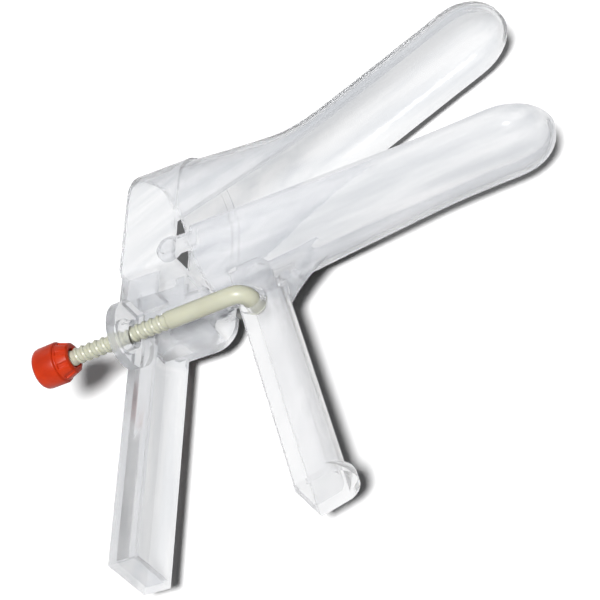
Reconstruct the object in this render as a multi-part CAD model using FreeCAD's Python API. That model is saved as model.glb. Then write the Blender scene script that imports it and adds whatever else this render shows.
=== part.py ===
"""Bivalve speculum of clear moulded plastic, with a side screw that holds it open.

The instrument lies on its side, as on a tray. +X runs forward along the viewing axis, +Y is the
instrument's own upward direction, so both handles point to -Y, and +Z is up, towards the screw.
The origin is on the hinge axis, in the plane of the flat side that rests on the tray.
The upper valve is one moulding: collar, upper blade, rear handle and screw lug. The lower valve is
the other: hinge arms, lower blade, front handle and screw socket. All sizes are millimetres.
"""

import FreeCAD
import Part

import math
import os

from FreeCAD import Vector

# Collar: the ring round the viewing opening.
collar_width = 40.0
collar_rear_x = -17.6
collar_front_x = 3.0
collar_floor_y = -7.0
collar_side_height = 34.0
collar_arch_height = 19.5
collar_wall = 2.0
collar_corner_radius = 3.0

# Hinge: studs of the lower valve in bores of the collar.
stud_radius = 3.0
stud_clearance = 0.08
stud_end_gap = 0.15
bore_skin = 0.8
hinge_arm_gap = 0.35
hinge_arm_thickness = 2.0
hinge_ear_gap = 0.5
hinge_arm_low = 2.4
hinge_arm_high = 4.0
hinge_arm_overlap = 3.0

# Blades. Each section has straight flanks and an elliptical arch.
blade_wall = 1.8
blade_half_width = 14.0
blade_flank = 2.5
blade_arch = 9.0
blade_tip_length = 16.0
upper_reach = 133.0
lower_reach = 132.0
ramp_softness = 7.0
body_steps = 14
tip_steps = 7
tip_stop_angle = 88.0

# Upper blade: its edge is a straight line that rises from the collar's front.
upper_edge_angle = 26.9
upper_edge_offset = 7.4
hood_half_width = 20.0
hood_flank = 18.0
hood_arch = 26.0
hood_ramp = 50.0

# Lower blade: its edge passes just under the hinge axis.
lower_edge_angle = 4.0
lower_edge_offset = 6.0
trough_start = 8.0
trough_half_width = 17.6
trough_flank = 5.0
trough_arch = 13.5
trough_ramp = 84.0

# Column under the collar: its skirt, and the shelf that stops the lower valve.
column_front_x = 2.0
shelf_front_x = 11.0
shelf_top_y = -15.0
shelf_floor_y = -26.0
shelf_radius = 8.0
skirt_step = 2.0
skirt_depth = 14.0
skirt_height = 11.0

# Rear handle: a channel that is open to the front.
rear_handle_width = 20.0
rear_handle_depth = 9.8
rear_handle_length = 88.5
handle_wall = 1.9
handle_cap = 1.9

# Front handle: a channel that is open to the rear, with a rounded front and a finger lip.
front_handle_width = 15.5
front_handle_depth = 11.0
front_handle_bulge = 3.3
front_handle_angle = 17.5
front_handle_length = 79.5
front_handle_root = 24.0
finger_lip = 2.9
finger_lip_height = 4.0
throat_height = 17.0
throat_drop = 13.5
throat_run = 19.5
throat_hollow = 0.3
throat_rise = 6.4
throat_swell = 2.6
throat_width = 9.0

# Screw: a bent rod, its socket in the lower valve and its lug on the upper valve.
rod_radius = 3.1
rod_bend_radius = 4.4
rod_axis_z = 34.5
socket_x = 28.6
socket_y = -26.5
socket_wall = 1.7
socket_height = 2.0
peg_clearance = 0.08
snap_lip = 0.55
snap_length = 1.6
snap_gap = 0.25
snap_slot = 0.9
snap_slot_depth = 3.25
lug_x = -14.5
lug_y = -28.9
lug_radius = 11.5
lug_thickness = 3.6
lug_hub_wall = 2.4
lug_hub_length = 1.5
lug_hole_gap = 0.5
lug_hole_play = 1.6
thread_radius = 2.95
thread_length = 50.0
tail_chamfer = 0.35

# Nut: a round thumb knob, a groove, and a nose that narrows forward and is fluted.
nut_radius = 7.2
nut_rear_radius = 7.0
nut_knob_length = 8.6
nut_groove_radius = 6.2
nut_groove_length = 0.7
nut_nose_base_radius = 6.4
nut_nose_radius = 5.0
nut_nose_length = 4.0
nut_flute_count = 8
nut_flute_radius = 1.1
nut_flute_depth = 0.5
nut_bore_clearance = 0.09
nut_to_lug = 20.2
nut_rear_round = 1.5
nut_front_round = 0.5

# How far a cut runs past the face that it opens, and how near two places count as the same.
cut_past = 1.0
same_place = 0.001

# Places that follow from the sizes above.
middle_z = collar_width / 2
upper = math.radians(upper_edge_angle)
lower = math.radians(lower_edge_angle)
handle_lean = math.radians(front_handle_angle)
belly_angle = math.radians(lower_edge_angle + throat_rise)
front_handle_top_z = middle_z + front_handle_width / 2
peg_end_z = front_handle_top_z - handle_wall - snap_gap
nut_length = nut_knob_length + nut_groove_length + nut_nose_length
rod_angle = math.atan2(socket_y - lug_y, socket_x - lug_x)
rod_direction = Vector(math.cos(rod_angle), math.sin(rod_angle), 0)


def quarter_ellipse(start, corner, end):
    """An exact quarter of an ellipse, from start to end, with tangents that meet at corner."""
    curve = Part.BezierCurve()
    curve.setPoles([start, corner, end])
    curve.setWeight(2, math.sqrt(0.5))
    return curve.toShape()


def arch_section(foot, up, half_width, flank, arch, foot_drop=0.0):
    """A closed section across the instrument: a flat foot, two straight flanks and an arch on them."""
    side = Vector(0, 0, half_width)
    low = foot - up * foot_drop
    spring = foot + up * flank
    crown = spring + up * arch
    return Part.Wire([
        Part.makeLine(low - side, low + side),
        Part.makeLine(low + side, spring + side),
        quarter_ellipse(spring + side, crown + side, crown),
        quarter_ellipse(crown, crown - side, spring - side),
        Part.makeLine(spring - side, low - side),
    ])


def soft_ramp(s, start_value, end_value, ramp_length):
    """A value that runs straight from start to end over ramp_length and then stays, with a soft bend."""
    slope = (start_value - end_value) / ramp_length
    past = s - ramp_length
    return end_value + slope / 2 * (math.hypot(past, ramp_softness) - past)


def blade_solid(root, angle, up_sign, length, ramp_length, root_size, inset, foot_drop):
    """A blade filled up to its edge line, from its root to its round tip.

    root_size is the half width, flank and arch at the root, which run down to the blade's own over
    ramp_length. For the hollow inside, inset takes a wall off the blade and foot_drop carries it
    past its edge line.
    """
    along = Vector(math.cos(angle), math.sin(angle), 0)
    up = Vector(-math.sin(angle), math.cos(angle), 0) * up_sign
    straight = length - blade_tip_length
    steps = [straight * i / body_steps for i in range(body_steps + 1)]
    tip_length = blade_tip_length - inset
    steps += [straight + tip_length * math.sin(math.pi / 2 * (i + 1) / tip_steps) for i in range(tip_steps)]
    wires = []
    for s in steps:
        half_width = soft_ramp(s, root_size[0], blade_half_width, ramp_length) - inset
        flank = soft_ramp(s, root_size[1], blade_flank, ramp_length)
        arch = soft_ramp(s, root_size[2], blade_arch, ramp_length) - inset
        turn = min(max(s - straight, 0) / tip_length, math.sin(math.radians(tip_stop_angle)))
        narrow = math.sqrt(1 - turn * turn)
        wires.append(arch_section(root + along * s, up, half_width * narrow, flank, arch * narrow, foot_drop))
    return Part.makeLoft(wires, True, False)


def handle_channel(depth, width, wall, length, bulge, cap, lip, lip_height):
    """A channel that hangs down -Y from the origin, closed at x = 0 and open at x = depth.

    bulge rounds the closed side outward. The bottom has a cap, which stands out by lip as a finger stop.
    """
    def outline(back, front, half, swell):
        left = Vector(back, 0, -half)
        right = Vector(back, 0, half)
        edges = [Part.makeLine(Vector(front, 0, -half), left)]
        if swell > 0:
            edges.append(Part.Arc(left, Vector(back - swell, 0, 0), right).toShape())
        else:
            edges.append(Part.makeLine(left, right))
        edges.append(Part.makeLine(right, Vector(front, 0, half)))
        edges.append(Part.makeLine(Vector(front, 0, half), Vector(front, 0, -half)))
        return Part.Face(Part.Wire(edges))

    half = width / 2
    hull = outline(0, depth, half, bulge).extrude(Vector(0, -length, 0))
    hollow = outline(wall, depth + cut_past, half - wall, bulge).extrude(Vector(0, cap - length, 0))
    channel = hull.cut(hollow)
    if lip > 0:
        stop = outline(0, depth, half, bulge + lip)
        stop.translate(Vector(0, lip_height - length, 0))
        channel = channel.fuse(stop.extrude(Vector(0, -lip_height, 0)))
    return channel


def collar_prism(inset, rear, front):
    """The collar's outline, or its opening where inset is the wall, from rear to front."""
    foot = Vector(rear, collar_floor_y + inset, middle_z)
    section = arch_section(foot, Vector(0, 1, 0), collar_width / 2 - inset,
                           collar_side_height - inset, collar_arch_height - inset)
    prism = Part.Face(section).extrude(Vector(front - rear, 0, 0))
    corners = [e for e in prism.Edges if is_floor_corner(e, foot.y)]
    return prism.makeFillet(collar_corner_radius - inset, corners)


def is_floor_corner(edge, floor_y):
    """Whether an edge runs along X at the floor of the collar."""
    first, last = edge.Vertexes[0].Point, edge.Vertexes[-1].Point
    level = abs(first.y - floor_y) < same_place and abs(last.y - floor_y) < same_place
    return level and abs(first.z - last.z) < same_place and abs(first.x - last.x) > same_place


def upper_blade(inset, foot_drop):
    """The upper blade and its hood, from inside the collar's front wall."""
    edge_up = Vector(-math.sin(upper), math.cos(upper), 0)
    along = Vector(math.cos(upper), math.sin(upper), 0)
    start = (collar_front_x - collar_wall) / math.cos(upper) + upper_edge_offset * math.tan(upper)
    root = Vector(0, 0, middle_z) + edge_up * upper_edge_offset + along * start
    root_size = (hood_half_width, hood_flank, hood_arch)
    blade = blade_solid(root, upper, 1, upper_reach - start, hood_ramp, root_size, inset, foot_drop)
    ahead = Part.makeBox(upper_reach, 2 * upper_reach, 2 * collar_width,
                         Vector(collar_front_x - collar_wall, -upper_reach, middle_z - collar_width))
    return blade.common(ahead)


def lower_blade(inset, foot_drop):
    """The lower blade and its trough."""
    edge_up = Vector(-math.sin(lower), math.cos(lower), 0)
    along = Vector(math.cos(lower), math.sin(lower), 0)
    root = Vector(0, 0, middle_z) + edge_up * lower_edge_offset + along * trough_start
    root_size = (trough_half_width, trough_flank, trough_arch)
    return blade_solid(root, lower, -1, lower_reach - trough_start, trough_ramp, root_size, inset, foot_drop)


def shelf_profile(inset):
    """Side outline of the column under the collar, with the shelf that runs forward from it."""
    back = collar_rear_x + inset
    floor = shelf_floor_y + inset
    front = shelf_front_x - inset
    radius = shelf_radius - inset
    middle = Vector(front - radius, floor + radius, 0)
    knee = middle + Vector(math.sqrt(0.5), -math.sqrt(0.5), 0) * radius
    points = [Vector(back, collar_floor_y + inset, 0), Vector(back, floor, 0),
              Vector(front - radius, floor, 0), Vector(front, floor + radius, 0),
              Vector(front, shelf_top_y, 0), Vector(column_front_x, shelf_top_y, 0),
              Vector(column_front_x, collar_floor_y + inset, 0)]
    edges = [Part.makeLine(points[0], points[1]), Part.makeLine(points[1], points[2]),
             Part.Arc(points[2], knee, points[3]).toShape()]
    for first, last in zip(points[3:], points[4:] + points[:1]):
        edges.append(Part.makeLine(first, last))
    return Part.Face(Part.Wire(edges))


def column():
    """The box between the collar and the rear handle, open to the front, with its shelf and skirt."""
    outer = shelf_profile(0)
    outer.translate(Vector(0, 0, middle_z - rear_handle_width / 2))
    block = outer.extrude(Vector(0, 0, rear_handle_width))
    inner_half = rear_handle_width / 2 - handle_wall
    inner = Part.makeBox(shelf_front_x - collar_rear_x, collar_floor_y - shelf_floor_y - 2 * handle_wall,
                         2 * inner_half,
                         Vector(collar_rear_x + handle_wall, shelf_floor_y + handle_wall, middle_z - inner_half))
    skirt_half = collar_width / 2 - skirt_step
    skirt = Part.makeBox(skirt_depth, skirt_height + collar_corner_radius, 2 * skirt_half,
                         Vector(collar_rear_x, collar_floor_y - skirt_height, middle_z - skirt_half))
    pocket = Part.makeBox(skirt_depth, skirt_height - handle_wall, 2 * (skirt_half - handle_wall),
                          Vector(collar_rear_x + handle_wall, collar_floor_y - skirt_height + handle_wall,
                                 middle_z - skirt_half + handle_wall))
    walls = block.cut(inner)
    return skirt.cut(pocket).fuse(walls).cut(inner)


def screw_lug():
    """The round lug beside the rear handle, with a hub and a tall hole that lets the rod swing."""
    centre = Vector(lug_x, lug_y, rod_axis_z)
    disc = Part.makeCylinder(lug_radius, lug_thickness, centre - Vector(lug_thickness / 2, 0, 0), Vector(1, 0, 0))
    hub_radius = rod_radius + lug_hole_gap + lug_hub_wall
    hub = Part.makeCylinder(hub_radius, lug_thickness + lug_hub_length,
                            centre - Vector(lug_thickness / 2 + lug_hub_length, 0, 0), Vector(1, 0, 0))
    return disc.fuse(hub)


def lug_hole():
    """The hole in the lug: as wide as the rod with a gap, and taller by the rod's play."""
    half = rod_radius + lug_hole_gap
    length = lug_thickness + lug_hub_length + 2 * cut_past
    start = Vector(lug_x + lug_thickness / 2 + cut_past - length, lug_y, rod_axis_z)
    parts = []
    for shift in (-lug_hole_play, lug_hole_play):
        parts.append(Part.makeCylinder(half, length, start + Vector(0, shift, 0), Vector(1, 0, 0)))
    slot = Part.makeBox(length, 2 * lug_hole_play, 2 * half, start + Vector(0, -lug_hole_play, -half))
    return parts[0].fuse([parts[1], slot])


def upper_valve():
    """Collar, upper blade, rear handle and screw lug, moulded in one piece."""
    ring = collar_prism(0, collar_rear_x, collar_front_x)
    opening = collar_prism(collar_wall, collar_rear_x - cut_past, collar_front_x - collar_wall)
    handle = handle_channel(rear_handle_depth, rear_handle_width, handle_wall, rear_handle_length,
                            0, handle_cap, 0, 0)
    handle.translate(Vector(collar_rear_x, shelf_floor_y + handle_wall, middle_z))
    body = ring.fuse([upper_blade(0, 0), column(), handle, screw_lug()])
    passage = Part.makeBox(collar_front_x - collar_rear_x, front_notch_height(),
                           collar_width - 2 * collar_wall,
                           Vector(collar_rear_x + cut_past, collar_floor_y + collar_wall, collar_wall))
    passage = passage.common(collar_prism(collar_wall, collar_rear_x, collar_front_x + cut_past))
    bores = Part.makeCylinder(stud_radius + stud_clearance, collar_width - 2 * bore_skin, Vector(0, 0, bore_skin))
    return body.cut([opening, passage, upper_blade(blade_wall, blade_wall), bores, lug_hole()])


def front_notch_height():
    """Height of the gap in the collar's front, from its floor to the upper blade's edge."""
    edge_y = upper_edge_offset / math.cos(upper) + collar_front_x * math.tan(upper)
    return edge_y - collar_floor_y - collar_wall


def hinge_arm(z_low):
    """One flat arm of the lower valve: an ear round the hinge axis and a strip to the trough."""
    ear_radius = -collar_floor_y - collar_wall - hinge_ear_gap
    ear = Part.makeCylinder(ear_radius, hinge_arm_thickness, Vector(0, 0, z_low))
    strip = Part.makeBox(trough_start + hinge_arm_overlap, hinge_arm_low + hinge_arm_high, hinge_arm_thickness,
                         Vector(0, -hinge_arm_low, z_low))
    return ear.fuse(strip)


def throat_web():
    """The slanting root that joins the front handle's front to the underside of the lower blade.

    throat_hollow is how far its edge bends in from a straight line towards the corner it fills.
    """
    axis = Vector(math.sin(handle_lean), -math.cos(handle_lean), 0)
    ahead = Vector(math.cos(handle_lean), math.sin(handle_lean), 0)
    belly = Vector(math.cos(belly_angle), math.sin(belly_angle), 0)
    corner = front_handle_origin() + ahead * throat_swell + axis * (front_handle_root - throat_height)
    low = corner + axis * throat_drop
    front = corner + belly * throat_run
    middle = (low + front) * 0.5
    knee = middle + (corner - middle) * throat_hollow
    into_belly = Vector(-belly.y, belly.x, 0) * (blade_wall / 2)
    into_handle = ahead * (-handle_wall / 2)
    edges = [
        quarter_ellipse(low, knee, front),
        Part.makeLine(front, front + into_belly),
        Part.makeLine(front + into_belly, corner + into_belly + into_handle),
        Part.makeLine(corner + into_belly + into_handle, low + into_handle),
        Part.makeLine(low + into_handle, low),
    ]
    face = Part.Face(Part.Wire(edges))
    face.translate(Vector(0, 0, -throat_width / 2))
    return face.extrude(Vector(0, 0, throat_width))


def front_handle_origin():
    """The top of the front handle's closed front side, abreast of the screw socket."""
    axis = Vector(math.sin(handle_lean), -math.cos(handle_lean), 0)
    ahead = Vector(math.cos(handle_lean), math.sin(handle_lean), 0)
    return Vector(socket_x, socket_y, middle_z) + ahead * (front_handle_depth / 2) - axis * front_handle_root


def front_handle():
    """The front handle, turned so that its closed side faces forward."""
    channel = handle_channel(front_handle_depth, front_handle_width, handle_wall,
                             front_handle_length + front_handle_root, front_handle_bulge,
                             handle_cap, finger_lip, finger_lip_height)
    channel.rotate(Vector(0, 0, 0), Vector(0, 1, 0), 180)
    channel.rotate(Vector(0, 0, 0), Vector(0, 0, 1), front_handle_angle)
    channel.translate(front_handle_origin())
    return channel


def lower_valve():
    """Hinge arms, lower blade, front handle and screw socket, moulded in one piece."""
    arm_low = collar_wall + hinge_arm_gap
    arm_high = collar_width - arm_low - hinge_arm_thickness
    studs = []
    stud_end = bore_skin + stud_end_gap
    for outer, inner in ((stud_end, arm_low + hinge_arm_thickness / 2),
                         (arm_high + hinge_arm_thickness / 2, collar_width - stud_end)):
        studs.append(Part.makeCylinder(stud_radius, inner - outer, Vector(0, 0, outer)))
    socket_radius = rod_radius + peg_clearance + socket_wall
    socket = Part.makeCylinder(socket_radius, socket_height + handle_wall,
                               Vector(socket_x, socket_y, front_handle_top_z - handle_wall))
    bore = Part.makeCylinder(rod_radius + peg_clearance, handle_wall + socket_height + 2 * cut_past,
                             Vector(socket_x, socket_y, front_handle_top_z - handle_wall - cut_past))
    body = lower_blade(0, 0).fuse([front_handle(), throat_web(), socket])
    body = body.cut(lower_blade(blade_wall, blade_wall))
    return body.fuse([hinge_arm(arm_low), hinge_arm(arm_high)] + studs).cut(bore)


def threaded_rod():
    """The bent rod: a threaded tail, a plain shank, a bend and a peg that snaps into the socket."""
    down = Vector(0, 0, -1)
    socket_top = Vector(socket_x, socket_y, rod_axis_z)
    bend_start = socket_top - rod_direction * rod_bend_radius
    bend_end = socket_top + down * rod_bend_radius
    chord = (bend_start + bend_end) * 0.5
    bend_centre = bend_start + down * rod_bend_radius
    knee = bend_centre + (chord - bend_centre).normalize() * rod_bend_radius
    shank_path = Part.Wire([
        Part.makeLine(rod_point(thread_front()), bend_start),
        Part.Arc(bend_start, knee, bend_end).toShape(),
        Part.makeLine(bend_end, Vector(socket_x, socket_y, peg_end_z)),
    ])
    ring = Part.Wire(Part.makeCircle(rod_radius, rod_point(thread_front()), rod_direction))
    shank = shank_path.makePipeShell([ring], True, False)
    tail_start = rod_point(thread_front() - thread_length)
    tail = Part.makeCylinder(thread_radius, thread_length, tail_start, rod_direction)
    tail = tail.makeChamfer(tail_chamfer, [end_circle(tail, tail_start)])
    return shank.fuse([tail, snap_head()]).cut(snap_cut()).removeSplitter()


def snap_head():
    """The barbed end of the peg, inside the front handle."""
    return Part.makeCone(rod_radius - snap_lip, rod_radius + snap_lip, snap_length,
                         Vector(socket_x, socket_y, peg_end_z - snap_length))


def snap_cut():
    """The slit that lets the two halves of the barbed end spring together."""
    half = rod_radius + snap_lip + cut_past
    low = peg_end_z - snap_length - cut_past
    return Part.makeBox(snap_slot, 2 * half, snap_slot_depth + cut_past,
                        Vector(socket_x - snap_slot / 2, socket_y - half, low))


def end_circle(shape, point):
    """The circular edge whose centre lies at point."""
    circles = [e for e in shape.Edges if len(e.Vertexes) == 1]
    return min(circles, key=lambda e: (e.CenterOfMass - point).Length)


def rod_point(distance):
    """A point on the rod's axis, at a distance forward of the lug."""
    return Vector(lug_x, lug_y, rod_axis_z) + rod_direction * distance


def thread_front():
    """Where the thread ends, forward of the lug."""
    return thread_length - nut_to_lug - nut_length - lug_thickness / 2


def lock_nut():
    """The thumb nut: a rounded knob and a fluted nose, turned about X and then laid on the rod."""
    ahead = Vector(1, 0, 0)
    knob = Part.makeCone(nut_rear_radius, nut_radius, nut_knob_length, Vector(0, 0, 0), ahead)
    knob = knob.makeFillet(nut_rear_round, [end_circle(knob, Vector(0, 0, 0))])
    knob = knob.makeFillet(nut_front_round, [end_circle(knob, Vector(nut_knob_length, 0, 0))])
    nose_start = nut_knob_length + nut_groove_length
    neck = Part.makeCylinder(nut_groove_radius, nose_start, Vector(0, 0, 0), ahead)
    nose = Part.makeCone(nut_nose_base_radius, nut_nose_radius, nut_nose_length, Vector(nose_start, 0, 0), ahead)
    slant = Vector(nut_nose_length, nut_nose_radius - nut_nose_base_radius, 0)
    flute_length = slant.Length + 2 * cut_past
    slant.normalize()
    flute_start = Vector(nose_start, nut_nose_base_radius + nut_flute_radius - nut_flute_depth, 0) - slant * cut_past
    flutes = []
    for i in range(nut_flute_count):
        flute = Part.makeCylinder(nut_flute_radius, flute_length, flute_start, slant)
        flute.rotate(Vector(0, 0, 0), ahead, 360 * i / nut_flute_count)
        flutes.append(flute)
    bore = Part.makeCylinder(thread_radius + nut_bore_clearance, nut_length + 2 * cut_past,
                             Vector(-cut_past, 0, 0), ahead)
    nut = knob.fuse([neck, nose.cut(flutes)]).cut(bore)
    nut.rotate(Vector(0, 0, 0), Vector(0, 0, 1), math.degrees(rod_angle))
    nut.translate(rod_point(-nut_to_lug - lug_thickness / 2 - nut_length))
    return nut


def main():
    os.makedirs("parts", exist_ok=True)
    pieces = {
        "upper_valve": upper_valve(),
        "lower_valve": lower_valve(),
        "threaded_rod": threaded_rod(),
        "lock_nut": lock_nut(),
    }
    for name, shape in pieces.items():
        print(name, "valid", shape.isValid(), "solids", len(shape.Solids), "volume", round(shape.Volume, 1))
        shape.exportStep("parts/" + name + ".step")


main()
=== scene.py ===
import math

import bmesh
import bpy
from mathutils import Matrix, Vector


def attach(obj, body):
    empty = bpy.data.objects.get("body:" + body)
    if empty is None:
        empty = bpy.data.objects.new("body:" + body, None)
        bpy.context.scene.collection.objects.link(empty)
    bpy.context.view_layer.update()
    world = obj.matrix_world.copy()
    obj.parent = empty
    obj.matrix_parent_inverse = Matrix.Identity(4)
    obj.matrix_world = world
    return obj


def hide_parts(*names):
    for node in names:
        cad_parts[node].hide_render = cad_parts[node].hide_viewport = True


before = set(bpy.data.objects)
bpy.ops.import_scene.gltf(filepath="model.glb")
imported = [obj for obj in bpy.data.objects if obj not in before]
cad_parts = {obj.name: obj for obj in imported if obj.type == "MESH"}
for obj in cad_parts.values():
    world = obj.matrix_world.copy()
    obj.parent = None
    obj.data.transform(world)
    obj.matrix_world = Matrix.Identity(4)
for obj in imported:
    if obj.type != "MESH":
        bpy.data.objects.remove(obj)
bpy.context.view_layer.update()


# The camera looks down on the instrument from its screw side, in front and below, so that the
# blades run to the upper right of the picture and both handles hang down.
camera_place = Vector((0.3520, -0.4738, 0.5109))
camera_right = Vector((0.8588, 0.0362, -0.5111))
camera_up = Vector((0.2883, 0.7904, 0.5405))
camera_back = camera_right.cross(camera_up)
camera_data = bpy.data.cameras.new("camera")
camera_data.sensor_width = 36
camera_data.lens = 137.6
camera = bpy.data.objects.new("camera", camera_data)
camera_turn = Matrix((camera_right, camera_up, camera_back)).transposed().to_4x4()
camera.matrix_world = Matrix.Translation(camera_place) @ camera_turn
bpy.context.collection.objects.link(camera)
bpy.context.scene.camera = camera


# Light: a broad lamp just above and left of the camera throws the soft shadow to the lower right,
# a small softbox overhead gives the gloss, and the surroundings are dim. The camera, the gloss and
# the clear plastic see those surroundings as white.
key_lift = 0.10
key_leftward = 0.20
key_data = bpy.data.lights.new("key", "SUN")
key_data.energy = 3.4
key_data.angle = math.radians(12)
key = bpy.data.objects.new("key", key_data)
key_from = camera_back + camera_up * key_lift - camera_right * key_leftward
key.matrix_world = key_from.to_track_quat("Z", "Y").to_matrix().to_4x4()
bpy.context.collection.objects.link(key)

softbox_data = bpy.data.lights.new("softbox", "AREA")
softbox_data.energy = 0.30
softbox_data.shape = "RECTANGLE"
softbox_data.size = 0.30
softbox_data.size_y = 0.06
softbox = bpy.data.objects.new("softbox", softbox_data)
softbox_place = Vector((-0.15, 0.35, 0.55))
softbox_aim = Vector((0.03, 0.0, 0.02))
softbox_turn = (softbox_place - softbox_aim).to_track_quat("Z", "Y").to_matrix().to_4x4()
softbox.matrix_world = Matrix.Translation(softbox_place) @ softbox_turn
bpy.context.collection.objects.link(softbox)

world = bpy.data.worlds.new("studio")
world.use_nodes = True
bpy.context.scene.world = world
wn = world.node_tree.nodes
wl = world.node_tree.links
wn.clear()
world_out = wn.new("ShaderNodeOutputWorld")
world_light = wn.new("ShaderNodeBackground")
world_light.inputs["Color"].default_value = (0.93, 0.96, 1.0, 1)
world_light.inputs["Strength"].default_value = 0.05
world_seen = wn.new("ShaderNodeBackground")
world_seen.inputs["Color"].default_value = (1, 1, 1, 1)
world_seen.inputs["Strength"].default_value = 1.0
world_path = wn.new("ShaderNodeLightPath")
world_through = wn.new("ShaderNodeMath")
world_through.operation = "MAXIMUM"
world_any = wn.new("ShaderNodeMath")
world_any.operation = "MAXIMUM"
world_first = wn.new("ShaderNodeMath")
world_first.operation = "LESS_THAN"
world_first.inputs[1].default_value = 0.5
world_clear = wn.new("ShaderNodeMath")
world_clear.operation = "MULTIPLY"
world_mix = wn.new("ShaderNodeMixShader")
wl.new(world_path.outputs["Is Camera Ray"], world_through.inputs[0])
wl.new(world_path.outputs["Is Transmission Ray"], world_through.inputs[1])
wl.new(world_through.outputs[0], world_any.inputs[0])
wl.new(world_path.outputs["Is Glossy Ray"], world_any.inputs[1])
wl.new(world_path.outputs["Diffuse Depth"], world_first.inputs[0])
wl.new(world_any.outputs[0], world_clear.inputs[0])
wl.new(world_first.outputs[0], world_clear.inputs[1])
wl.new(world_clear.outputs[0], world_mix.inputs["Fac"])
wl.new(world_light.outputs[0], world_mix.inputs[1])
wl.new(world_seen.outputs[0], world_mix.inputs[2])
wl.new(world_mix.outputs[0], world_out.inputs["Surface"])


# The floor is a plain white tray liner that takes the shadow. The camera sees its colour brighter,
# so that it comes up to white, and the gloss and the clear plastic see it as plain white.
floor_drop = 0.0004
bpy.ops.object.select_all(action="DESELECT")
bpy.ops.mesh.primitive_plane_add(size=6.0, location=(0, 0, -floor_drop))
floor = bpy.context.object
floor.name = "floor"
floor_paint = bpy.data.materials.new("floor_white")
floor_paint.use_nodes = True
fn = floor_paint.node_tree.nodes
fl = floor_paint.node_tree.links
fn.clear()
floor_out = fn.new("ShaderNodeOutputMaterial")
floor_dull = fn.new("ShaderNodeBsdfDiffuse")
floor_dull.inputs["Color"].default_value = (0.80, 0.80, 0.80, 1)
floor_bright = fn.new("ShaderNodeBsdfDiffuse")
floor_bright.inputs["Color"].default_value = (1.22, 1.22, 1.22, 1)
floor_white = fn.new("ShaderNodeEmission")
floor_white.inputs["Strength"].default_value = 1.0
floor_path = fn.new("ShaderNodeLightPath")
floor_through = fn.new("ShaderNodeMath")
floor_through.operation = "MAXIMUM"
floor_first = fn.new("ShaderNodeMath")
floor_first.operation = "LESS_THAN"
floor_first.inputs[1].default_value = 0.5
floor_clear = fn.new("ShaderNodeMath")
floor_clear.operation = "MULTIPLY"
floor_direct = fn.new("ShaderNodeMixShader")
floor_pick = fn.new("ShaderNodeMixShader")
fl.new(floor_path.outputs["Is Glossy Ray"], floor_through.inputs[0])
fl.new(floor_path.outputs["Is Transmission Ray"], floor_through.inputs[1])
fl.new(floor_path.outputs["Is Camera Ray"], floor_direct.inputs["Fac"])
fl.new(floor_dull.outputs[0], floor_direct.inputs[1])
fl.new(floor_bright.outputs[0], floor_direct.inputs[2])
fl.new(floor_path.outputs["Diffuse Depth"], floor_first.inputs[0])
fl.new(floor_through.outputs[0], floor_clear.inputs[0])
fl.new(floor_first.outputs[0], floor_clear.inputs[1])
fl.new(floor_clear.outputs[0], floor_pick.inputs["Fac"])
fl.new(floor_direct.outputs[0], floor_pick.inputs[1])
fl.new(floor_white.outputs[0], floor_pick.inputs[2])
fl.new(floor_pick.outputs[0], floor_out.inputs["Surface"])
floor.data.materials.append(floor_paint)


# Upper valve: collar, upper blade, rear handle and screw lug, injection moulded in one piece of
# clear polystyrene. It is polished, with a faint haze and flow marks that run along the blade and
# turn down the handle. The handle's colour is painted a little paler, as painted light on it.
handle_starts_y = -0.012
handle_alone_y = -0.030
flow_marks = bpy.data.node_groups.new("flow_marks", "ShaderNodeTree")
flow_marks.interface.new_socket("Scale", in_out="INPUT", socket_type="NodeSocketFloat")
flow_marks.interface.new_socket("Blade Turn", in_out="INPUT", socket_type="NodeSocketFloat")
flow_marks.interface.new_socket("Handle Turn", in_out="INPUT", socket_type="NodeSocketFloat")
flow_marks.interface.new_socket("Handle Painted Light", in_out="INPUT", socket_type="NodeSocketFloat")
flow_marks.interface.new_socket("Clear", in_out="INPUT", socket_type="NodeSocketColor")
flow_marks.interface.new_socket("Cloudy", in_out="INPUT", socket_type="NodeSocketColor")
flow_marks.interface.new_socket("Colour", in_out="OUTPUT", socket_type="NodeSocketColor")
flow_marks.interface.new_socket("Height", in_out="OUTPUT", socket_type="NodeSocketFloat")
flow_marks.interface.new_socket("Haze", in_out="OUTPUT", socket_type="NodeSocketFloat")
gn = flow_marks.nodes
gl = flow_marks.links
group_in = gn.new("NodeGroupInput")
group_out = gn.new("NodeGroupOutput")
group_place = gn.new("ShaderNodeTexCoord")
group_split = gn.new("ShaderNodeSeparateXYZ")
group_handle = gn.new("ShaderNodeMapRange")
group_handle.inputs["From Min"].default_value = handle_starts_y
group_handle.inputs["From Max"].default_value = handle_alone_y
group_blade_turn = gn.new("ShaderNodeCombineXYZ")
group_handle_turn = gn.new("ShaderNodeCombineXYZ")
group_along_blade = gn.new("ShaderNodeMapping")
group_along_handle = gn.new("ShaderNodeMapping")
for stretch in (group_along_blade, group_along_handle):
    stretch.vector_type = "TEXTURE"
    stretch.inputs["Scale"].default_value = (10.0, 1.0, 1.0)
group_flow = gn.new("ShaderNodeMix")
group_flow.data_type = "VECTOR"
group_waves = gn.new("ShaderNodeTexNoise")
group_waves.inputs["Detail"].default_value = 2.0
group_streaks = gn.new("ShaderNodeTexNoise")
group_streaks.inputs["Scale"].default_value = 190.0
group_streaks.inputs["Detail"].default_value = 3.0
group_share = gn.new("ShaderNodeMapRange")
group_share.inputs["From Min"].default_value = 0.40
group_share.inputs["From Max"].default_value = 0.62
group_colour = gn.new("ShaderNodeMix")
group_colour.data_type = "RGBA"
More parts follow.
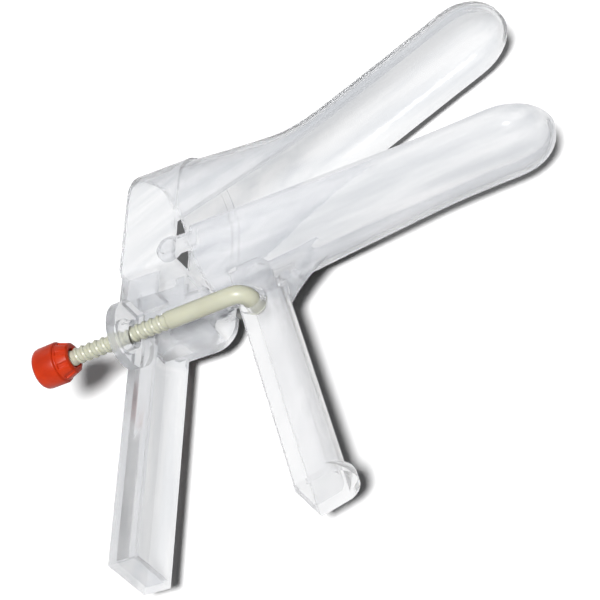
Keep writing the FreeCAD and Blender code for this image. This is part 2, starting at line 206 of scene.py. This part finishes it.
# Painted light: on the handle the colour is mixed towards near white, by the handle's share given to
# the group, so that the handle looks more brightly lit.
group_painted_light = gn.new("ShaderNodeMath")
group_painted_light.operation = "MULTIPLY"
group_painted_paler = gn.new("ShaderNodeMix")
group_painted_paler.data_type = "RGBA"
group_painted_paler.inputs["B"].default_value = (0.985, 0.985, 0.99, 1)
group_haze = gn.new("ShaderNodeTexNoise")
group_haze.inputs["Scale"].default_value = 90.0
group_haze.inputs["Detail"].default_value = 3.0
group_range = gn.new("ShaderNodeMapRange")
group_range.inputs["From Min"].default_value = 0.35
group_range.inputs["From Max"].default_value = 0.75
group_range.inputs["To Min"].default_value = 0.14
group_range.inputs["To Max"].default_value = 0.26
gl.new(group_in.outputs["Blade Turn"], group_blade_turn.inputs["Z"])
gl.new(group_in.outputs["Handle Turn"], group_handle_turn.inputs["Z"])
gl.new(group_blade_turn.outputs["Vector"], group_along_blade.inputs["Rotation"])
gl.new(group_handle_turn.outputs["Vector"], group_along_handle.inputs["Rotation"])
gl.new(group_place.outputs["Object"], group_along_blade.inputs["Vector"])
gl.new(group_place.outputs["Object"], group_along_handle.inputs["Vector"])
gl.new(group_place.outputs["Object"], group_split.inputs["Vector"])
gl.new(group_split.outputs["Y"], group_handle.inputs["Value"])
gl.new(group_handle.outputs["Result"], group_flow.inputs["Factor"])
gl.new(group_along_blade.outputs["Vector"], group_flow.inputs["A"])
gl.new(group_along_handle.outputs["Vector"], group_flow.inputs["B"])
gl.new(group_flow.outputs["Result"], group_waves.inputs["Vector"])
gl.new(group_in.outputs["Scale"], group_waves.inputs["Scale"])
gl.new(group_flow.outputs["Result"], group_streaks.inputs["Vector"])
gl.new(group_streaks.outputs["Fac"], group_share.inputs["Value"])
gl.new(group_share.outputs["Result"], group_colour.inputs["Factor"])
gl.new(group_in.outputs["Clear"], group_colour.inputs["A"])
gl.new(group_in.outputs["Cloudy"], group_colour.inputs["B"])
gl.new(group_place.outputs["Object"], group_haze.inputs["Vector"])
gl.new(group_haze.outputs["Fac"], group_range.inputs["Value"])
gl.new(group_handle.outputs["Result"], group_painted_light.inputs[0])
gl.new(group_in.outputs["Handle Painted Light"], group_painted_light.inputs[1])
gl.new(group_painted_light.outputs[0], group_painted_paler.inputs["Factor"])
gl.new(group_colour.outputs["Result"], group_painted_paler.inputs["A"])
gl.new(group_painted_paler.outputs["Result"], group_out.inputs["Colour"])
gl.new(group_waves.outputs["Fac"], group_out.inputs["Height"])
gl.new(group_range.outputs["Result"], group_out.inputs["Haze"])


def clear_plastic(name, clear, cloudy, blade_turn, handle_turn, handle_painted_light, marks_scale):
    """Clear polished plastic with flow marks at the given turns in degrees, and painted light that
    makes the handle's colour paler.

    Walls seen through other plastic are lit through it, and outside it casts a dark shadow.
    """
    marks_height = 0.0003
    share_outside = 0.04
    share_inside = 0.95
    paint = bpy.data.materials.new(name)
    paint.use_nodes = True
    nodes = paint.node_tree.nodes
    links = paint.node_tree.links
    nodes.clear()
    out = nodes.new("ShaderNodeOutputMaterial")
    body = nodes.new("ShaderNodeBsdfPrincipled")
    body.inputs["IOR"].default_value = 1.12
    body.inputs["Transmission Weight"].default_value = 0.82
    body.inputs["Metallic"].default_value = 0.0
    marks = nodes.new("ShaderNodeGroup")
    marks.node_tree = flow_marks
    marks.inputs["Scale"].default_value = marks_scale
    marks.inputs["Blade Turn"].default_value = math.radians(blade_turn)
    marks.inputs["Handle Turn"].default_value = math.radians(handle_turn)
    marks.inputs["Handle Painted Light"].default_value = handle_painted_light
    marks.inputs["Clear"].default_value = (*clear, 1)
    marks.inputs["Cloudy"].default_value = (*cloudy, 1)
    bump = nodes.new("ShaderNodeBump")
    bump.inputs["Strength"].default_value = 0.5
    bump.inputs["Distance"].default_value = marks_height
    path = nodes.new("ShaderNodeLightPath")
    shade = nodes.new("ShaderNodeMath")
    shade.operation = "MULTIPLY"
    inside = nodes.new("ShaderNodeMath")
    inside.operation = "GREATER_THAN"
    inside.inputs[1].default_value = 0.5
    passed = nodes.new("ShaderNodeMapRange")
    passed.inputs["To Min"].default_value = share_outside
    passed.inputs["To Max"].default_value = share_inside
    window = nodes.new("ShaderNodeBsdfTransparent")
    mix = nodes.new("ShaderNodeMixShader")
    links.new(marks.outputs["Colour"], body.inputs["Base Color"])
    links.new(marks.outputs["Height"], bump.inputs["Height"])
    links.new(marks.outputs["Haze"], body.inputs["Roughness"])
    links.new(bump.outputs["Normal"], body.inputs["Normal"])
    links.new(path.outputs["Transmission Depth"], inside.inputs[0])
    links.new(inside.outputs[0], passed.inputs["Value"])
    links.new(path.outputs["Is Shadow Ray"], shade.inputs[0])
    links.new(passed.outputs["Result"], shade.inputs[1])
    links.new(shade.outputs[0], mix.inputs["Fac"])
    links.new(body.outputs["BSDF"], mix.inputs[1])
    links.new(window.outputs["BSDF"], mix.inputs[2])
    links.new(mix.outputs["Shader"], out.inputs["Surface"])
    return paint


def moulding(node, name, body, paint):
    """A smooth copy of a CAD node's shape in the given paint, which stands for that node."""
    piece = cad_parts[node].copy()
    piece.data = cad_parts[node].data.copy()
    piece.name = name
    bpy.context.collection.objects.link(piece)
    bpy.ops.object.select_all(action="DESELECT")
    piece.select_set(True)
    bpy.context.view_layer.objects.active = piece
    bpy.ops.object.mode_set(mode="EDIT")
    bpy.ops.mesh.select_all(action="SELECT")
    bpy.ops.mesh.remove_doubles(threshold=0.000002)
    bpy.ops.mesh.dissolve_limited(angle_limit=math.radians(0.4))
    bpy.ops.object.mode_set(mode="OBJECT")
    bpy.ops.object.shade_smooth_by_angle(angle=math.radians(32))
    even = piece.modifiers.new("even", "WEIGHTED_NORMAL")
    even.mode = "FACE_AREA"
    even.keep_sharp = True
    bpy.ops.object.modifier_apply(modifier="even")
    piece.data.materials.clear()
    piece.data.materials.append(paint)
    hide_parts(node)
    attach(piece, body)
    return piece


upper_paint = clear_plastic("clear_upper_valve", clear=(0.96, 0.965, 0.975),
                            cloudy=(0.82, 0.835, 0.86), blade_turn=27, handle_turn=90,
                            handle_painted_light=0.25, marks_scale=16.0)
upper_moulding = moulding("upper_valve", "upper_moulding", "upper_valve_body", upper_paint)


# Lower valve: hinge arms with their studs, lower blade, front handle and screw socket in one
# moulding of the same plastic, a little cloudier along the blade. The studs snap into the collar.
# The front handle's colour is painted paler still, as painted light.
lower_paint = clear_plastic("clear_lower_valve", clear=(0.91, 0.915, 0.93),
                            cloudy=(0.74, 0.755, 0.78), blade_turn=4, handle_turn=72.5,
                            handle_painted_light=0.75, marks_scale=19.0)
lower_moulding = moulding("lower_valve", "lower_moulding", "lower_valve_body", lower_paint)


# Threaded rod: an opaque ivory moulding with a coarse thread on its tail, a plain shank, a bend and
# a barbed peg that snaps into the lower valve's socket.
rod_socket = Vector((0.0286, -0.0265, 0.0345))
rod_lean = math.atan2(2.4, 43.1)
rod_root_radius = 0.0024
rod_shank_radius = 0.00305
rod_thread_radius = 0.00293
rod_bend_radius = 0.0044
rod_tail_x = -0.0784
rod_thread_x = -0.0286
rod_peg_end = -0.0104
rod_tail_edge = 0.0004
rod_shoulder = 0.0006
barb_rise = 0.0002
barb_taper = 0.0016
barb_out = 0.00045
barb_in = 0.0005
thread_ridge_radius = 0.00085
thread_pitch = 0.0027
thread_turns = 18
thread_start = 0.0012

bpy.ops.object.select_all(action="DESELECT")
bpy.ops.mesh.primitive_circle_add(vertices=40, radius=rod_root_radius - rod_tail_edge,
                                  fill_type="NGON", location=(rod_tail_x, 0, 0),
                                  rotation=(0, math.pi / 2, 0))
rod = bpy.context.object
rod.name = "screw_rod"
bpy.ops.object.transform_apply(location=True, rotation=True, scale=True)
bpy.ops.object.mode_set(mode="EDIT")
bpy.ops.mesh.select_all(action="SELECT")


def push_ring(along, radius_from, radius_to):
    """Extrudes the selected end along a vector and scales it from one radius to another."""
    bpy.ops.mesh.extrude_region_move(TRANSFORM_OT_translate={"value": along})
    if radius_to != radius_from:
        share = radius_to / radius_from
        bpy.ops.transform.resize(value=(share, share, share))


tail_length = rod_thread_x - rod_tail_x - rod_tail_edge
shank_length = -rod_bend_radius - rod_thread_x - rod_shoulder
peg_length = -(rod_peg_end + rod_bend_radius + barb_rise + barb_taper)
barb_radius = rod_shank_radius + barb_out
push_ring((rod_tail_edge, 0, 0), rod_root_radius - rod_tail_edge, rod_root_radius)
push_ring((tail_length, 0, 0), rod_root_radius, rod_root_radius)
push_ring((rod_shoulder, 0, 0), rod_root_radius, rod_shank_radius)
push_ring((shank_length, 0, 0), rod_shank_radius, rod_shank_radius)
bpy.ops.mesh.spin(steps=12, angle=-math.pi / 2, axis=(0, 1, 0),
                  center=(-rod_bend_radius, 0, -rod_bend_radius))
push_ring((0, 0, -peg_length), rod_shank_radius, rod_shank_radius)
push_ring((0, 0, -barb_rise), rod_shank_radius, barb_radius)
push_ring((0, 0, -barb_taper), barb_radius, rod_shank_radius - barb_in)
bpy.ops.mesh.select_all(action="SELECT")
bpy.ops.mesh.remove_doubles(threshold=0.000001)
bpy.ops.mesh.normals_make_consistent(inside=False)
bpy.ops.object.mode_set(mode="OBJECT")

# The thread is a rounded ridge, wound with a screw modifier and joined to the core.
bpy.ops.object.select_all(action="DESELECT")
bpy.ops.mesh.primitive_circle_add(vertices=8, radius=thread_ridge_radius, rotation=(math.pi / 2, 0, 0))
thread = bpy.context.object
bpy.ops.object.transform_apply(location=False, rotation=True, scale=True)
bpy.ops.object.mode_set(mode="EDIT")
bpy.ops.mesh.select_all(action="SELECT")
bpy.ops.transform.translate(value=(0, 0, rod_thread_radius - thread_ridge_radius))
bpy.ops.object.mode_set(mode="OBJECT")
winding = thread.modifiers.new("winding", "SCREW")
winding.axis = "X"
winding.angle = 2 * math.pi
winding.screw_offset = thread_pitch
winding.iterations = thread_turns
winding.steps = 28
winding.render_steps = 28
winding.use_smooth_shade = True
bpy.ops.object.modifier_apply(modifier="winding")
bpy.ops.object.mode_set(mode="EDIT")
bpy.ops.mesh.select_all(action="SELECT")
bpy.ops.mesh.fill_holes(sides=0)
bpy.ops.mesh.normals_make_consistent(inside=False)
bpy.ops.transform.translate(value=(rod_tail_x + thread_start, 0, 0))
bpy.ops.object.mode_set(mode="OBJECT")
rod.select_set(True)
bpy.context.view_layer.objects.active = rod
bpy.ops.object.join()
bpy.ops.object.shade_smooth_by_angle(angle=math.radians(40))
rod.matrix_world = Matrix.Translation(rod_socket) @ Matrix.Rotation(rod_lean, 4, "Z")
bpy.ops.object.transform_apply(location=True, rotation=True, scale=True)

ivory = bpy.data.materials.new("ivory_plastic")
ivory.use_nodes = True
vn = ivory.node_tree.nodes
vl = ivory.node_tree.links
ivory_body = vn["Principled BSDF"]
ivory_place = vn.new("ShaderNodeTexCoord")
ivory_cloud = vn.new("ShaderNodeTexNoise")
ivory_cloud.inputs["Scale"].default_value = 120.0
ivory_ramp = vn.new("ShaderNodeValToRGB")
ivory_ramp.color_ramp.elements[0].color = (0.52, 0.52, 0.40, 1)
ivory_ramp.color_ramp.elements[1].color = (0.66, 0.665, 0.53, 1)
ivory_grain = vn.new("ShaderNodeTexNoise")
ivory_grain.inputs["Scale"].default_value = 2200.0
ivory_bump = vn.new("ShaderNodeBump")
ivory_bump.inputs["Strength"].default_value = 0.12
ivory_bump.inputs["Distance"].default_value = 0.00005
ivory_body.inputs["Roughness"].default_value = 0.34
ivory_body.inputs["Subsurface Weight"].default_value = 0.25
ivory_body.inputs["Subsurface Radius"].default_value = (0.0016, 0.0014, 0.0008)
ivory_body.inputs["Subsurface Scale"].default_value = 1.0
vl.new(ivory_place.outputs["Object"], ivory_cloud.inputs["Vector"])
vl.new(ivory_cloud.outputs["Fac"], ivory_ramp.inputs["Fac"])
vl.new(ivory_ramp.outputs["Color"], ivory_body.inputs["Base Color"])
vl.new(ivory_place.outputs["Object"], ivory_grain.inputs["Vector"])
vl.new(ivory_grain.outputs["Fac"], ivory_bump.inputs["Height"])
vl.new(ivory_bump.outputs["Normal"], ivory_body.inputs["Normal"])
rod.data.materials.append(ivory)
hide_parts("threaded_rod")
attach(rod, "rod_body")


# Lock nut: an opaque orange thumb nut that runs on the thread. It is moulded with a smooth knob
# rounded at the rear, a groove, and a nose with eight flutes that narrows forward to the bore.
nut_rear_x = -0.0784
nut_rear_radius = 0.00568
nut_front_radius = 0.0045
nut_flutes = 8
flute_share = 0.42
flutes_from_x = nut_rear_x + 0.0093
flutes_to_x = nut_rear_x + 0.0127

# Each ring of the nut's outline from the rear: how far it is pushed forward, and its radius.
nut_rings = (
    (0.0003, 0.00639),
    (0.0006, 0.0068515),
    (0.0008, 0.007029),
    (0.0062, 0.0071),
    (0.0005, 0.006816),
    (0.0001, 0.0062),
    (0.0006, 0.0061),
    (0.0002, 0.0063),
    (0.0034, 0.0052),
    (0.0004, nut_front_radius),
    (0.0, 0.0035),
    (-0.0004, 0.0032),
    (-0.0028, 0.0031),
)

bpy.ops.object.select_all(action="DESELECT")
bpy.ops.mesh.primitive_circle_add(vertices=64, radius=nut_rear_radius, fill_type="NGON",
                                  location=(nut_rear_x, 0, 0), rotation=(0, math.pi / 2, 0))
nut = bpy.context.object
nut.name = "thumb_nut"
bpy.ops.object.transform_apply(location=True, rotation=True, scale=True)
bpy.ops.object.mode_set(mode="EDIT")
bpy.ops.mesh.select_all(action="SELECT")
radius_before = nut_rear_radius
for forward, ring_radius in nut_rings:
    push_ring((forward, 0, 0), radius_before, ring_radius)
    radius_before = ring_radius
mesh = bmesh.from_edit_mesh(nut.data)
for face in mesh.faces:
    face.select = False
for face in mesh.faces:
    centre = face.calc_center_median()
    on_nose = flutes_from_x < centre.x < flutes_to_x and abs(face.normal.x) < 0.6
    outside = math.hypot(centre.y, centre.z) > nut_front_radius
    share = (math.atan2(centre.z, centre.y) / (2 * math.pi) * nut_flutes) % 1.0
    if on_nose and outside and share < flute_share:
        face.select = True
bmesh.update_edit_mesh(nut.data)
bpy.ops.mesh.inset(thickness=0.00012, depth=-0.00045)
bpy.ops.mesh.select_all(action="SELECT")
bpy.ops.mesh.normals_make_consistent(inside=False)
bpy.ops.object.mode_set(mode="OBJECT")
soften = nut.modifiers.new("soften", "BEVEL")
soften.width = 0.00018
soften.segments = 2
soften.limit_method = "ANGLE"
soften.angle_limit = math.radians(50)
bpy.ops.object.modifier_apply(modifier="soften")
bpy.ops.object.shade_smooth_by_angle(angle=math.radians(40))
nut.matrix_world = Matrix.Translation(rod_socket) @ Matrix.Rotation(rod_lean, 4, "Z")
bpy.ops.object.transform_apply(location=True, rotation=True, scale=True)

orange = bpy.data.materials.new("orange_plastic")
orange.use_nodes = True
on = orange.node_tree.nodes
ol = orange.node_tree.links
orange_body = on["Principled BSDF"]
orange_place = on.new("ShaderNodeTexCoord")
orange_cloud = on.new("ShaderNodeTexNoise")
orange_cloud.inputs["Scale"].default_value = 160.0
orange_ramp = on.new("ShaderNodeValToRGB")
orange_ramp.color_ramp.elements[0].position = 0.3
orange_ramp.color_ramp.elements[0].color = (0.47, 0.028, 0.004, 1)
orange_ramp.color_ramp.elements[1].position = 0.75
orange_ramp.color_ramp.elements[1].color = (0.67, 0.046, 0.006, 1)
orange_grain = on.new("ShaderNodeTexNoise")
orange_grain.inputs["Scale"].default_value = 1800.0
orange_bump = on.new("ShaderNodeBump")
orange_bump.inputs["Strength"].default_value = 0.15
orange_bump.inputs["Distance"].default_value = 0.00005
orange_body.inputs["Roughness"].default_value = 0.36
orange_body.inputs["Specular IOR Level"].default_value = 0.2
orange_body.inputs["Subsurface Weight"].default_value = 0.08
orange_body.inputs["Subsurface Radius"].default_value = (0.001, 0.0004, 0.0002)
orange_body.inputs["Subsurface Scale"].default_value = 1.0
ol.new(orange_place.outputs["Object"], orange_cloud.inputs["Vector"])
ol.new(orange_cloud.outputs["Fac"], orange_ramp.inputs["Fac"])
ol.new(orange_ramp.outputs["Color"], orange_body.inputs["Base Color"])
ol.new(orange_place.outputs["Object"], orange_grain.inputs["Vector"])
ol.new(orange_grain.outputs["Fac"], orange_bump.inputs["Height"])
ol.new(orange_bump.outputs["Normal"], orange_body.inputs["Normal"])
nut.data.materials.append(orange)
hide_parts("lock_nut")
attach(nut, "nut_body")


# Standard view, and enough bounces for the many walls of clear plastic that lie behind each other.
bpy.context.scene.view_settings.view_transform = "Standard"
bpy.context.scene.cycles.max_bounces = 24
bpy.context.scene.cycles.transmission_bounces = 24
bpy.context.scene.cycles.transparent_max_bounces = 24
bpy.context.scene.cycles.caustics_refractive = False
bpy.context.scene.cycles.caustics_reflective = False
